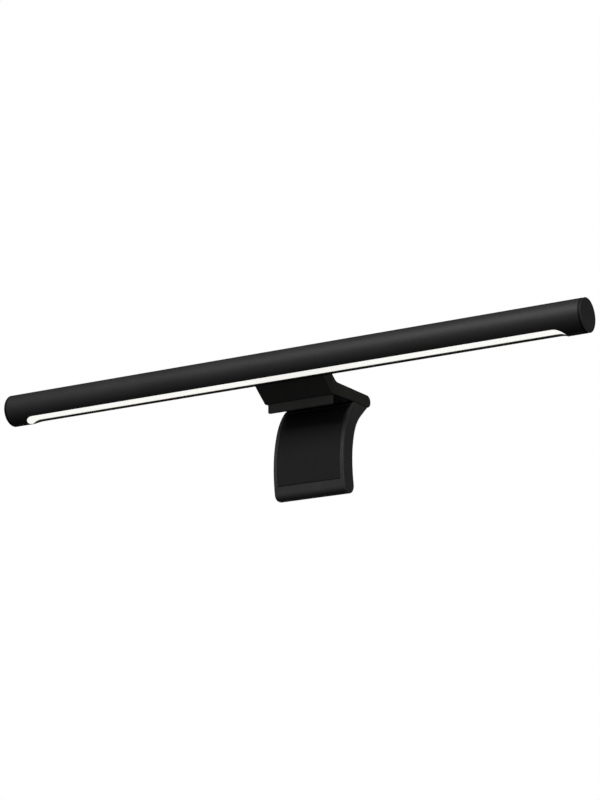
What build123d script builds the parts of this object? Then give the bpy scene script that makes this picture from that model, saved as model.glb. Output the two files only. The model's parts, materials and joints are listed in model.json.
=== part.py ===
"""Clip-on light bar: a round lamp tube held by magnets in the saddle of a sprung panel clamp.

Millimetres, +Z up, +X along the bar, -Y towards the person who sits in front of the panel.
The origin is the middle of the seat, where the top edge of the panel carries the clamp.
Profiles are drawn in section planes whose own origin is the axis of the lamp tube.
"""
from build123d import *
from math import asin, cos, degrees, hypot, radians, sin
import os

os.makedirs("parts", exist_ok=True)

# ---------------------------------------------------------------- driving dimensions
# where the lamp tube stands over the seat
tube_behind_seat = -36.0
arm_floor = -16.5
seat_pad_thickness = 1.0
tube_above_seat = seat_pad_thickness - arm_floor

# lamp tube
bar_length = 448.0
tube_radius = 11.25
tube_wall = 1.2
cap_ring = 1.9
floor_top = -5.7
cut_depth = 8.1
cut_centres = 404.2
scoop_radius = 11.4
window_depth = 3.0
window_corner = 1.0
lens_thickness = 1.2
lens_rear = 3.4
lens_land = 1.0
metal_lip = 0.4
rim_drop = 0.5
fit_gap = 0.05
boss_radius = 1.9
boss_ring = 8.3
boss_angle = 25.0
pilot_radius = 1.05
# rails for the driver board: their size, then distance from the middle and height over the board
rail_size = (3.0, 0.9)
lower_rail = (6.1, -0.5)
upper_rail = (6.9, 1.8)

# end caps and small screws
spacer_width = 1.4
spacer_radius = 10.8
cap_neck_radius = 10.4
disc_radius = 9.9
cap_edge = 0.35
cap_seam_chamfer = 0.12
seam_chamfer = 0.25
disc_thickness = 0.4
screw_radius = 1.0
head_radius = 1.9
head_height = 1.0
cap_screw_length = 9.0
spigot_length = 6.0

# light engine
board_length = 396.0
board_front = 3.4
strip_centre = -3.4
led_pitch = 14.0
led_count = 28
led_size = (3.5, 2.8, 0.7)
window_centre = -2.3
window_width = 7.6
driver_size = (120.0, 10.6, 1.2)
driver_floor = 4.2
part_height = 2.2
module_size = (18.0, 9.0, 0.8)
shield_size = (10.0, 7.6, 1.4)

# power inlet at the back of the tube
port_angle = 20.0
port_face = 12.05
port_cut_start = 3.5
port_cut_depth = 10.0
surround_start = 7.4
port_width = 13.0
port_height = 7.4
port_corner = 3.05
socket_start = 4.1
socket_length = 7.3
socket_size = (8.94, 3.16)
socket_wall = 0.3
socket_corner = 1.5
socket_back = 1.0
tongue_size = (6.7, 0.7)

# clamp arm
arm_width = 54.0
neck_slope = 37.7
neck_thickness = 10.3
neck_start = 7.0
arm_top = -7.9
arm_edge = 0.7
chin_y = 22.4
chin_drop = 1.0
lip_face_y = 23.2
saddle_radius = 11.6
liner_radius = 11.55
liner_thickness = 0.8
liner_width = 51.0
liner_low = -32.6
liner_high = 10.1
liner_play = 0.4
notch_width = 15.0
notch_floor = -3.0
notch_start = 9.0
notch_height = 20.0
notch_depth = 18.0
magnet_angle = -18.0
magnet_length = 16.0
magnet_width = 8.0
magnet_offset = 17.5
magnet_start = 12.9
magnet_depth = 3.0
yoke_depth = 1.2
keeper_thickness = 0.8
keeper_low = -32.0
keeper_high = 6.0

# front lip and soft pads
lip_width = 50.7
lip_thickness = 2.5
lip_drop = -23.6
lip_corner = 1.6
lip_edge = 0.8
foot_end_y = 46.0
foot_thickness = 1.2
lip_screw_y = 36.0
lip_screw_spacing = 16.0
lip_screw_length = 6.0
countersink = 40.0
pad_width = 48.0
bezel_pad_thickness = 0.5

# hinge at the rear of the arm
hinge_y = 68.3
hinge_z = -12.2
knuckle_radius = hinge_z - arm_floor
knuckle_half = 18.7
ear_start = 19.0
ear_gap = 0.6
ear_gap_size = 20.0
pin_radius = 1.5
pin_half = 24.4
cap_bore = 2.25
pin_cap_depth = 1.2
bush_radius = 2.4
bush_length = 3.0
spring_bore = 3.3
spring_radius = 2.45
spring_wire = 0.35
spring_turns = 8
spring_start = 2.0
spring_pitch = 1.2

# leg
leg_width = 55.0
leg_top = arm_floor - 0.3
leg_bottom = -81.3
leg_edge = 0.8
front_y = 34.3
front_z = -59.0
front_low_radius = 105.0
front_mid_radius = 77.0
front_top_radius = 43.0
front_mid_turn = 19.6
front_low_turn = 9.9
toe_radius = 4.8
rear_y = 47.0
rear_z = -57.0
rear_low_radius = 95.0
rear_mid_radius = 62.0
rear_top_radius = 29.4
rear_mid_turn = 17.6
rear_top_turn = 48.1
rear_low_turn = 10.9
heel_radius = 6.2
rim_width = 3.0
pad_turn_top = 42.5
pad_turn_bottom = 7.4
pad_recess = 0.4
rim_chamfer = 0.35
leg_pad_depth = 1.6
plate_depth = 3.0
weight_depth = 10.2
leg_boss_radius = 2.4
leg_screw_radius = 0.85
leg_screw_turns = (15.0, -4.5)
leg_screw_across = 18.5
leg_head_depth = 0.7
leg_head_height = 0.6

# ---------------------------------------------------------------- values worked out
half_tube = bar_length / 2 - cap_ring
inner_radius = tube_radius - tube_wall
lens_top = -cut_depth + lens_thickness
scoop_centre = -cut_depth - scoop_radius
driver_top = driver_floor + driver_size[2]
boss_y = boss_ring * cos(radians(boss_angle))
boss_z = boss_ring * sin(radians(boss_angle))
slope = radians(neck_slope)
tube_centre = (0, tube_behind_seat, tube_above_seat)

# section seen from the end of the bar: first axis backwards, second axis up
side = Plane(origin=tube_centre, x_dir=(0, 1, 0), z_dir=(1, 0, 0))
# elevation seen from the front: first axis along the bar, second axis up
front = Plane(origin=tube_centre, x_dir=(1, 0, 0), z_dir=(0, -1, 0))
# plan seen from above
plan = Plane(origin=tube_centre, x_dir=(1, 0, 0), z_dir=(0, 0, 1))


def radial_plane(angle, radius):
    """Plane that faces away from the tube's axis at this angle above the rearward direction."""
    outward = (0, cos(radians(angle)), sin(radians(angle)))
    return Plane(origin=tube_centre, x_dir=(1, 0, 0), z_dir=outward).offset(radius)


def neck_point(along, across):
    """Point of the section given along and across the sloping neck."""
    return (along * cos(slope) + across * sin(slope), -along * sin(slope) + across * cos(slope))


def ring_sector(inner, outer, start, end):
    """Part of a ring between two angles, drawn in the open sketch."""
    with BuildLine() as outline:
        far = CenterArc((0, 0), outer, start, end - start)
        near = CenterArc((0, 0), inner, start, end - start)
        Line(far @ 0, near @ 0)
        Line(far @ 1, near @ 1)
    make_face(outline.edges())


def finish(piece, name):
    """Name one piece and write it."""
    piece.part.label = name
    export_step(piece.part, "parts/" + name + ".step")


# ================================================================ lamp tube
def tube_cavity():
    """Hollow of the extrusion: flat floor, two screw channels and two pairs of board rails."""
    Circle(inner_radius)
    with Locations((0, floor_top)):
        Rectangle(2 * tube_radius, 2 * tube_radius, align=(Align.CENTER, Align.MIN), mode=Mode.INTERSECT)
    with Locations((boss_y, boss_z), (-boss_y, boss_z)):
        Circle(boss_radius, mode=Mode.SUBTRACT)
    for edge in (1, -1):
        for across, above in (lower_rail, upper_rail):
            with Locations((edge * across, driver_floor + above)):
                Rectangle(rail_size[0], rail_size[1], mode=Mode.SUBTRACT)
    with Locations((boss_y, boss_z), (-boss_y, boss_z)):
        Circle(pilot_radius)


with BuildPart() as tube_housing:
    with BuildSketch(side):
        Circle(tube_radius)
    extrude(amount=half_tube, both=True)
    chamfer(edges(), seam_chamfer)
    with BuildSketch(side):
        tube_cavity()
    extrude(amount=half_tube, both=True, mode=Mode.SUBTRACT)
    # flat on the underside that runs out in a scoop at each end
    with BuildSketch(front.offset(-lens_rear - fit_gap)):
        with Locations((0, scoop_centre)):
            SlotCenterToCenter(cut_centres, 2 * scoop_radius)
    extrude(amount=tube_radius + lens_rear + fit_gap, mode=Mode.SUBTRACT)
    # rim behind the lens, which stands a little lower
    with BuildSketch(front.offset(-tube_radius)):
        with Locations((0, scoop_centre - rim_drop)):
            SlotCenterToCenter(cut_centres, 2 * scoop_radius)
    extrude(amount=tube_radius, mode=Mode.SUBTRACT)
    # light window through the floor
    with BuildSketch(plan.offset(lens_top - 0.5)):
        with Locations((0, window_centre)):
            RectangleRounded(board_length + 4, window_width, window_corner)
    extrude(amount=window_depth, mode=Mode.SUBTRACT)
    # opening for the power inlet
    with BuildSketch(radial_plane(port_angle, port_cut_start)):
        RectangleRounded(port_width + 2 * fit_gap, port_height + 2 * fit_gap, port_corner + fit_gap)
    extrude(amount=port_cut_depth, mode=Mode.SUBTRACT)

# seat for the lens, following the flat and both scoops
with BuildPart() as lens_seat:
    with BuildSketch(front.offset(-lens_rear - fit_gap)):
        with Locations((0, scoop_centre)):
            SlotCenterToCenter(cut_centres, 2 * (scoop_radius + lens_thickness))
            SlotCenterToCenter(cut_centres, 2 * (scoop_radius - 0.5), mode=Mode.SUBTRACT)
    extrude(amount=tube_radius + lens_rear)
    with BuildSketch(side):
        Circle(tube_radius - metal_lip + fit_gap)
    extrude(amount=half_tube, both=True, mode=Mode.INTERSECT)

with BuildPart() as tube_body:
    add(tube_housing.part)
    add(lens_seat.part, mode=Mode.SUBTRACT)
finish(tube_body, "tube_housing")

with BuildPart() as diffuser:
    with BuildSketch(front.offset(-lens_rear)):
        with Locations((0, scoop_centre)):
            SlotCenterToCenter(cut_centres, 2 * (scoop_radius + lens_thickness))
            SlotCenterToCenter(cut_centres, 2 * scoop_radius, mode=Mode.SUBTRACT)
    extrude(amount=tube_radius + lens_rear)
    with BuildSketch(side):
        Circle(tube_radius - metal_lip)
    extrude(amount=half_tube, both=True, mode=Mode.INTERSECT)
    with BuildSketch(plan.offset(lens_top)):
        with Locations((0, window_centre)):
            RectangleRounded(board_length + 3.6, window_width - 0.4, 0.8)
    extrude(amount=lens_land)
finish(diffuser, "diffuser")

with BuildPart() as reflector:
    with BuildSketch(side):
        with BuildLine():
            ThreePointArc((3.1, -0.7), (-3.6, 0.6), (-8.0, -4.9))
        trace(line_width=0.5)
    extrude(amount=board_length / 2, both=True)
finish(reflector, "reflector")

# ================================================================ light engine
with BuildPart() as heat_rail:
    with BuildSketch(side):
        with BuildLine():
            Polyline(
                (4.7, floor_top),
                (7.6, floor_top),
                (7.6, -4.9),
                (6.2, -4.9),
                (6.2, -1.2),
                (4.7, -1.2),
                close=True,
            )
        make_face()
    extrude(amount=board_length / 2, both=True)
finish(heat_rail, "heat_rail")

with BuildPart() as thermal_tape:
    with BuildSketch(side):
        with Locations((board_front + 1.15, strip_centre)):
            Rectangle(0.3, 4.2)
    extrude(amount=board_length / 2, both=True)
finish(thermal_tape, "thermal_tape")

with BuildPart() as led_board:
    with BuildSketch(side):
        with Locations((board_front + 0.5, strip_centre)):
            Rectangle(1.0, 4.4)
    extrude(amount=board_length / 2, both=True)
finish(led_board, "led_board")


def led_row(shift):
    """One colour of LED packages in a row on the front of the strip board."""
    with BuildPart() as leds:
        with BuildSketch(front.offset(-board_front)):
            with Locations((shift, strip_centre)):
                with GridLocations(led_pitch, 1, led_count, 1):
                    RectangleRounded(led_size[0], led_size[1], 0.3)
        extrude(amount=led_size[2])
    return leds


finish(led_row(-led_pitch / 4), "warm_leds")
finish(led_row(led_pitch / 4), "cool_leds")

with BuildPart() as driver_board:
    with BuildSketch(plan.offset(driver_floor)):
        Rectangle(driver_size[0], driver_size[1])
    extrude(amount=driver_size[2])
finish(driver_board, "driver_board")

with BuildPart() as driver_components:
    with BuildSketch(plan.offset(driver_top)):
        with Locations((-36, 0)):
            RectangleRounded(7, 7, 1.2)
        with Locations((-22, 1.2), (-22, -1.9)):
            Rectangle(3.2, 1.6)
        with Locations((-8, 0)):
            Rectangle(6, 6)
        with Locations((10, 0)):
            Circle(2.4)
    extrude(amount=part_height)
finish(driver_components, "driver_components")

with BuildPart() as radio_module:
    with BuildSketch(plan.offset(driver_top)):
        with Locations((34, 0)):
            Rectangle(module_size[0], module_size[1])
    extrude(amount=module_size[2])
    with BuildSketch(plan.offset(driver_top + module_size[2])):
        with Locations((31, 0)):
            RectangleRounded(shield_size[0], shield_size[1], 0.6)
    extrude(amount=shield_size[2])
finish(radio_module, "radio_module")

with BuildPart() as board_ribbon:
    with BuildSketch(side.offset(27)):
        with Locations((4.05, 1.5)):
            Rectangle(0.3, 5.4)
    extrude(amount=6)
finish(board_ribbon, "board_ribbon")

port_out = (0, cos(radians(port_angle)), sin(radians(port_angle)))
port_down = (0, sin(radians(port_angle)), -cos(radians(port_angle)))

with BuildPart() as port_surround:
    with BuildSketch(radial_plane(port_angle, surround_start)):
        RectangleRounded(port_width, port_height, port_corner)
        RectangleRounded(socket_size[0] + 0.16, socket_size[1] + 0.14, socket_corner, mode=Mode.SUBTRACT)
    extrude(amount=port_face - surround_start)
    chamfer(faces().sort_by(Axis((0, 0, 0), port_out))[-1].edges(), 0.3)
finish(port_surround, "port_surround")

with BuildPart() as usb_c_socket:
    with BuildSketch(radial_plane(port_angle, socket_start)):
        RectangleRounded(socket_size[0], socket_size[1], socket_corner)
    extrude(amount=socket_length)
    with BuildSketch(radial_plane(port_angle, socket_start + socket_back)):
        RectangleRounded(socket_size[0] - 2 * socket_wall, socket_size[1] - 2 * socket_wall, 1.25)
        Rectangle(tongue_size[0], tongue_size[1], mode=Mode.SUBTRACT)
    extrude(amount=socket_length - socket_back, mode=Mode.SUBTRACT)
finish(usb_c_socket, "usb_c_socket")

with BuildPart() as socket_board:
    with BuildSketch(Plane(origin=tube_centre, x_dir=(1, 0, 0), z_dir=port_down).offset(1.6)):
        with Locations((0, -5.9)):
            Rectangle(7.0, 1.4)
    extrude(amount=0.8)
finish(socket_board, "socket_board")

with BuildPart() as keeper_plates:
    for start in (-magnet_offset - magnet_length / 2, magnet_offset - magnet_length / 2):
        with BuildSketch(side.offset(start)):
            ring_sector(inner_radius - keeper_thickness, inner_radius, keeper_low, keeper_high)
        extrude(amount=magnet_length)
finish(keeper_plates, "keeper_plates")

# ================================================================ end caps
boss_points = ((boss_y, boss_z), (-boss_y, boss_z))
cap_outside = bar_length / 2

with BuildPart() as end_cap_right:
    with BuildSketch(side.offset(half_tube + spacer_width)):
        Circle(tube_radius)
    extrude(amount=cap_ring - spacer_width)
    fillet(edges().filter_by(GeomType.CIRCLE).sort_by(Axis.X)[-1], cap_edge)
    chamfer(edges().filter_by(GeomType.CIRCLE).sort_by(Axis.X)[0], cap_seam_chamfer)
    with BuildSketch(side.offset(half_tube)):
        Circle(cap_neck_radius)
    extrude(amount=spacer_width)
    with BuildSketch(side.offset(half_tube)):
        Circle(inner_radius - 0.3)
        Rectangle(2 * tube_radius, 6.0, mode=Mode.INTERSECT)
        with Locations((0, -3.0)):
            Rectangle(14.0, 5.0, mode=Mode.SUBTRACT)
        with Locations(*boss_points):
            Circle(boss_radius + 0.3, mode=Mode.SUBTRACT)
    extrude(amount=-spigot_length)
    with BuildSketch(side.offset(cap_outside - disc_thickness)):
        Circle(disc_radius + fit_gap)
    extrude(amount=disc_thickness, mode=Mode.SUBTRACT)
    with BuildSketch(side.offset(half_tube)):
        with Locations(*boss_points):
            Circle(screw_radius + 0.1)
    extrude(amount=cap_ring, mode=Mode.SUBTRACT)
    with BuildSketch(side.offset(cap_outside - disc_thickness - head_height)):
        with Locations(*boss_points):
            Circle(head_radius + 0.1)
    extrude(amount=head_height, mode=Mode.SUBTRACT)

with BuildPart() as cap_spacer_right:
    with BuildSketch(side.offset(half_tube)):
        Circle(spacer_radius)
        Circle(cap_neck_radius + fit_gap, mode=Mode.SUBTRACT)
    extrude(amount=spacer_width)

with BuildPart() as cap_disc_right:
    with BuildSketch(side.offset(cap_outside - disc_thickness)):
        Circle(disc_radius)
    extrude(amount=disc_thickness)

with BuildPart() as cap_screws_right:
    with BuildSketch(side.offset(cap_outside - disc_thickness - head_height)):
        with Locations(*boss_points):
            Circle(head_radius)
    extrude(amount=head_height)
    with BuildSketch(side.offset(cap_outside - disc_thickness - head_height)):
        with Locations(*boss_points):
            Circle(screw_radius)
    extrude(amount=-cap_screw_length)

cap_pieces = (
    (end_cap_right, "end_cap"),
    (cap_spacer_right, "cap_spacer"),
    (cap_disc_right, "cap_disc"),
    (cap_screws_right, "cap_screws"),
)
for right, name in cap_pieces:
    finish(right, name + "_right")
    with BuildPart() as left:
        mirror(right.part, about=Plane.YZ)
    finish(left, name + "_left")

# ================================================================ clamp arm
magnet_places = ((-magnet_offset, 0), (magnet_offset, 0))
lip_screw_places = [(across, lip_screw_y) for across in (-lip_screw_spacing, 0, lip_screw_spacing)]

with BuildPart() as arm_body:
    with BuildSketch(side):
        with BuildLine():
            neck_top_end = ((neck_thickness + arm_top * -cos(slope)) / sin(slope), arm_top)
            Polyline(
                neck_point(neck_start, 8.0),
                neck_point(neck_start, neck_thickness),
                neck_top_end,
                (hinge_y, arm_top),
            )
            nose = CenterArc((hinge_y, hinge_z), knuckle_radius, 90, -180)
            Polyline(
                nose @ 1,
                (foot_end_y, arm_floor),
                (chin_y, arm_floor - chin_drop),
                neck_point(9.0, 0.1),
                neck_point(neck_start, 8.0),
            )
        make_face()
        fillet(vertices().sort_by_distance(neck_top_end)[0], 6.0)
        fillet(vertices().sort_by_distance(neck_point(neck_start, neck_thickness))[0], 0.8)
    extrude(amount=arm_width / 2, both=True)
    fillet(faces().filter_by(Axis.X).edges(), arm_edge)
    # concave saddle for the tube
    with BuildSketch(side):
        Circle(saddle_radius)
    extrude(amount=arm_width, both=True, mode=Mode.SUBTRACT)
    with BuildSketch(side):
        recess_radius = liner_radius + liner_thickness + fit_gap
        ring_sector(saddle_radius - 1, recess_radius, liner_low - liner_play, liner_high + liner_play)
    extrude(amount=liner_width / 2 + fit_gap, both=True, mode=Mode.SUBTRACT)
    # magnet pockets behind the liner
    with BuildSketch(radial_plane(magnet_angle, saddle_radius)):
        with Locations(*magnet_places):
            Rectangle(magnet_length + 0.1, magnet_width + 0.1)
    extrude(amount=magnet_start + magnet_depth + yoke_depth - saddle_radius, mode=Mode.SUBTRACT)
    # notch for the plug
    with BuildSketch(front.offset(-notch_start)):
        with Locations((0, notch_floor)):
            Rectangle(notch_width, notch_height, align=(Align.CENTER, Align.MIN))
    extrude(amount=-notch_depth, mode=Mode.SUBTRACT)
    # recess for the foot of the lip
    with BuildSketch(plan.offset(arm_floor + foot_thickness)):
        with Locations((0, lip_face_y)):
            Rectangle(lip_width, foot_end_y - lip_face_y, align=(Align.CENTER, Align.MIN))
    extrude(amount=-foot_thickness - chin_drop, mode=Mode.SUBTRACT)
    with BuildSketch(plan.offset(arm_floor)):
        with Locations(*lip_screw_places):
            Circle(screw_radius)
    extrude(amount=lip_screw_length + 0.2, mode=Mode.SUBTRACT)
    # room for the knuckle of the leg between the two ears
    with BuildSketch(side):
        with Locations((hinge_y - knuckle_radius - ear_gap, hinge_z)):
            Rectangle(ear_gap_size, ear_gap_size, align=(Align.MIN, Align.CENTER))
    extrude(amount=ear_start, both=True, mode=Mode.SUBTRACT)
    # pin bore, blind on the right, closed by a cap on the left
    with BuildSketch(side.offset(-arm_width / 2)):
        with Locations((hinge_y, hinge_z)):
            Circle(pin_radius)
    extrude(amount=arm_width / 2 + pin_half + 0.1, mode=Mode.SUBTRACT)
    with BuildSketch(side.offset(-arm_width / 2)):
        with Locations((hinge_y, hinge_z)):
            Circle(cap_bore)
    extrude(amount=pin_cap_depth, mode=Mode.SUBTRACT)
finish(arm_body, "arm_body")

with BuildPart() as saddle_liner:
    with BuildSketch(side):
        ring_sector(liner_radius, liner_radius + liner_thickness, liner_low, liner_high)
    extrude(amount=liner_width / 2, both=True)
    with BuildSketch(front.offset(-notch_start)):
        with Locations((0, notch_floor)):
            Rectangle(notch_width, notch_height, align=(Align.CENTER, Align.MIN))
    extrude(amount=-notch_depth, mode=Mode.SUBTRACT)
finish(saddle_liner, "saddle_liner")

with BuildPart() as saddle_magnets:
    with BuildSketch(radial_plane(magnet_angle, magnet_start)):
        with Locations(*magnet_places):
            Rectangle(magnet_length, magnet_width)
    extrude(amount=magnet_depth)
    chamfer(edges(), 0.3)
finish(saddle_magnets, "saddle_magnets")

with BuildPart() as magnet_yokes:
    with BuildSketch(radial_plane(magnet_angle, magnet_start + magnet_depth)):
        with Locations(*magnet_places):
            Rectangle(magnet_length, magnet_width)
    extrude(amount=yoke_depth)
finish(magnet_yokes, "magnet_yokes")

# ================================================================ front lip, pads and screws
with BuildPart() as front_lip:
    with BuildSketch(side):
        with BuildLine():
            Polyline(
                (lip_face_y, arm_floor + foot_thickness),
                (foot_end_y, arm_floor + foot_thickness),
                (foot_end_y, arm_floor),
                (lip_face_y + lip_thickness, arm_floor),
                (lip_face_y + lip_thickness, lip_drop),
                (lip_face_y, lip_drop),
                close=True,
            )
        make_face()
    extrude(amount=lip_width / 2, both=True)
    fillet(faces().sort_by(Axis.Y)[0].edges().filter_by(Axis.Z), lip_corner)
    fillet(faces().sort_by(Axis.Y)[0].edges().filter_by(Axis.X).sort_by(Axis.Z)[0], lip_edge)
    fillet(faces().sort_by(Axis.Y)[0].edges().filter_by(Axis.X).sort_by(Axis.Z)[-1], lip_edge)
    with BuildSketch(plan.offset(arm_floor)):
        with Locations(*lip_screw_places):
            Circle(head_radius)
    extrude(amount=foot_thickness, taper=countersink, mode=Mode.SUBTRACT)
finish(front_lip, "front_lip")

with BuildPart() as lip_screws:
    with BuildSketch(plan.offset(arm_floor)):
        with Locations(*lip_screw_places):
            Circle(head_radius - 0.05)
    extrude(amount=1.0, taper=countersink)
    with BuildSketch(plan.offset(arm_floor)):
        with Locations(*lip_screw_places):
            Circle(screw_radius - 0.1)
    extrude(amount=lip_screw_length)
finish(lip_screws, "lip_screws")

with BuildPart() as bezel_pad:
    with BuildSketch(front.offset(-lip_face_y - lip_thickness)):
        with Locations((0, (lip_drop + arm_floor - seat_pad_thickness) / 2)):
            RectangleRounded(pad_width, 4.8, 0.8)
    extrude(amount=-bezel_pad_thickness)
finish(bezel_pad, "bezel_pad")

seat_start = lip_face_y + lip_thickness + bezel_pad_thickness
with BuildPart() as seat_pad:
    with BuildSketch(plan.offset(arm_floor)):
        with Locations((0, (seat_start + foot_end_y) / 2)):
            RectangleRounded(pad_width, foot_end_y - seat_start, 1.2)
    extrude(amount=-seat_pad_thickness)
finish(seat_pad, "seat_pad")

# ================================================================ hinge
with BuildPart() as hinge_pin:
    with BuildSketch(side):
        with Locations((hinge_y, hinge_z)):
            Circle(pin_radius)
    extrude(amount=pin_half, both=True)
    chamfer(edges(), 0.3)
finish(hinge_pin, "hinge_pin")

with BuildPart() as pin_cap:
    with BuildSketch(side.offset(-arm_width / 2)):
        with Locations((hinge_y, hinge_z)):
            Circle(cap_bore - fit_gap)
    extrude(amount=pin_cap_depth)
finish(pin_cap, "pin_cap")

hinge_axis_y = tube_behind_seat + hinge_y
hinge_axis_z = tube_above_seat + hinge_z
with BuildPart() as torsion_springs:
    for start in (spring_start, -spring_start - spring_turns * spring_pitch):
        with BuildLine():
            coil = Helix(
                spring_pitch,
                spring_turns * spring_pitch,
                spring_radius,
                center=(start, hinge_axis_y, hinge_axis_z),
                direction=(1, 0, 0),
            )
        with BuildSketch(Plane(origin=coil @ 0, z_dir=coil % 0)):
            Circle(spring_wire)
        sweep(path=coil, is_frenet=True)
finish(torsion_springs, "torsion_springs")

with BuildPart() as hinge_bushes:
    for start in (-knuckle_half, knuckle_half - bush_length):
        with BuildSketch(side.offset(start)):
            with Locations((hinge_y, hinge_z)):
                Circle(bush_radius)
                Circle(pin_radius + fit_gap, mode=Mode.SUBTRACT)
        extrude(amount=bush_length)
finish(hinge_bushes, "hinge_bushes")


# ================================================================ leg
def front_chain(depth, top_turn, low_turn):
    """Front curve of the leg moved inwards by depth: returns its lower, middle and upper arcs."""
    start = (front_y + depth, front_z)
    low = JernArc(start, (0, -1), front_low_radius - depth, low_turn)
    mid = JernArc(start, (0, 1), front_mid_radius - depth, -front_mid_turn)
    top = JernArc(mid @ 1, mid % 1, front_top_radius - depth, -(top_turn - front_mid_turn))
    return low, mid, top


def leg_band(outer, inner, top_turn, low_turn):
    """Curved strip between two depths under the front face of the leg."""
    with BuildLine() as outline:
        low_out, mid_out, top_out = front_chain(outer, top_turn, low_turn)
        low_in, mid_in, top_in = front_chain(inner, top_turn, low_turn)
        Line(top_out @ 1, top_in @ 1)
        Line(low_out @ 1, low_in @ 1)
    make_face(outline.edges())


def leg_screw_plane(turn, across, depth):
    """Plane at a depth under the leg's front face, facing out of it along the local normal."""
    radius = front_mid_radius if turn > 0 else front_low_radius
    y = front_y + radius - (radius - depth) * cos(radians(turn))
    z = front_z + (radius - depth) * sin(radians(turn))
    origin = (across, tube_behind_seat + y, tube_above_seat + z)
    return Plane(origin=origin, x_dir=(1, 0, 0), z_dir=(0, -cos(radians(turn)), sin(radians(turn))))


def rim_edges(all_edges):
    """The long edges between the rim's front face and the opening, left and right."""
    wall = leg_width / 2 - rim_width
    found = []
    for edge in all_edges:
        middle = edge @ 0.5
        y = middle.Y - tube_behind_seat
        z = middle.Z - tube_above_seat
        on_wall = abs(abs(middle.X) - wall) < 0.01
        on_mid = abs(hypot(y - front_y - front_mid_radius, z - front_z) - front_mid_radius) < 0.01
        on_low = abs(hypot(y - front_y - front_low_radius, z - front_z) - front_low_radius) < 0.01
        on_top = abs(hypot(y - top_centre[0], z - top_centre[1]) - front_top_radius) < 0.01
        if on_wall and (on_mid or on_low or on_top):
            found.append(edge)
    return found


top_shift = front_mid_radius - front_top_radius
top_centre = (
    front_y + front_mid_radius - top_shift * cos(radians(front_mid_turn)),
    front_z + top_shift * sin(radians(front_mid_turn)),
)
leg_screw_sides = (-leg_screw_across, leg_screw_across)
leg_screw_places = [(turn, across) for turn in leg_screw_turns for across in leg_screw_sides]
mid_height = front_z + front_mid_radius * sin(radians(front_mid_turn))
front_top_turn = degrees(asin((leg_top - mid_height) / front_top_radius + sin(radians(front_mid_turn))))

with BuildPart() as leg_shell:
    with BuildSketch(side):
        with BuildLine():
            low, mid, top = front_chain(0, front_top_turn, front_low_turn)
            rear_low = JernArc((rear_y, rear_z), (0, -1), rear_low_radius, rear_low_turn)
            rear_mid = JernArc((rear_y, rear_z), (0, 1), rear_mid_radius, -rear_mid_turn)
            upper_turn = rear_mid_turn - rear_top_turn
            rear_top = JernArc(rear_mid @ 1, rear_mid % 1, rear_top_radius, upper_turn)
            run_up = (leg_top - (rear_top @ 1).Y) / cos(radians(rear_top_turn))
            rear_line = PolarLine(rear_top @ 1, run_up, angle=90 - rear_top_turn)
            Line(rear_line @ 1, top @ 1)
            front_corner = ((low @ 1).X + 0.6, leg_bottom)
            rear_corner = ((rear_low @ 1).X, leg_bottom)
            Polyline(low @ 1, front_corner, rear_corner, rear_low @ 1)
        make_face()
        fillet(vertices().sort_by_distance(front_corner)[0], toe_radius)
        fillet(vertices().sort_by_distance(rear_corner)[0], heel_radius)
    extrude(amount=leg_width / 2, both=True)
    fillet(faces().filter_by(Axis.X).edges(), leg_edge)
    # knuckle on its web, between the ears of the arm
    with BuildSketch(side):
        with Locations((hinge_y, hinge_z)):
            Circle(knuckle_radius)
        with BuildLine():
            Polyline(
                (hinge_y - knuckle_radius, hinge_z),
                (hinge_y - knuckle_radius, leg_top - 1.5),
                (hinge_y - 1.9, leg_top - 1.5),
                (hinge_y, hinge_z - knuckle_radius),
                (hinge_y, hinge_z),
                close=True,
            )
        make_face()
    extrude(amount=knuckle_half, both=True)
    with BuildSketch(side):
        with Locations((hinge_y, hinge_z)):
            Circle(bush_radius)
    extrude(amount=knuckle_half, both=True, mode=Mode.SUBTRACT)
    with BuildSketch(side):
        with Locations((hinge_y, hinge_z)):
            Circle(spring_bore)
    extrude(amount=knuckle_half - bush_length, both=True, mode=Mode.SUBTRACT)
    # opening for the pad and its plate, framed by the rim
    with BuildSketch(side):
        leg_band(-2.0, plate_depth, pad_turn_top, pad_turn_bottom)
    extrude(amount=leg_width / 2 - rim_width, both=True, mode=Mode.SUBTRACT)
    chamfer(rim_edges(edges()), rim_chamfer)
    # chamber for the counterweight
    with BuildSketch(side):
        leg_band(plate_depth, weight_depth + 0.2, pad_turn_top - 1.5, pad_turn_bottom)
    extrude(amount=leg_width / 2 - rim_width - 1.5, both=True, mode=Mode.SUBTRACT)
    for turn, across in leg_screw_places:
        with BuildSketch(leg_screw_plane(turn, across, weight_depth + 0.6)):
            Circle(leg_boss_radius)
        extrude(amount=weight_depth + 0.5 - plate_depth)
        with BuildSketch(leg_screw_plane(turn, across, weight_depth)):
            Circle(leg_screw_radius + fit_gap)
        extrude(amount=weight_depth, mode=Mode.SUBTRACT)
finish(leg_shell, "leg_shell")

with BuildPart() as counterweight:
    with BuildSketch(side):
        leg_band(plate_depth + 0.2, weight_depth, pad_turn_top - 2.5, pad_turn_bottom - 0.4)
    extrude(amount=leg_width / 2 - rim_width - 1.8, both=True)
    for turn, across in leg_screw_places:
        with BuildSketch(leg_screw_plane(turn, across, weight_depth + 2)):
            Circle(leg_boss_radius + 0.4)
        extrude(amount=weight_depth + 2, mode=Mode.SUBTRACT)
finish(counterweight, "counterweight")

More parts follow.
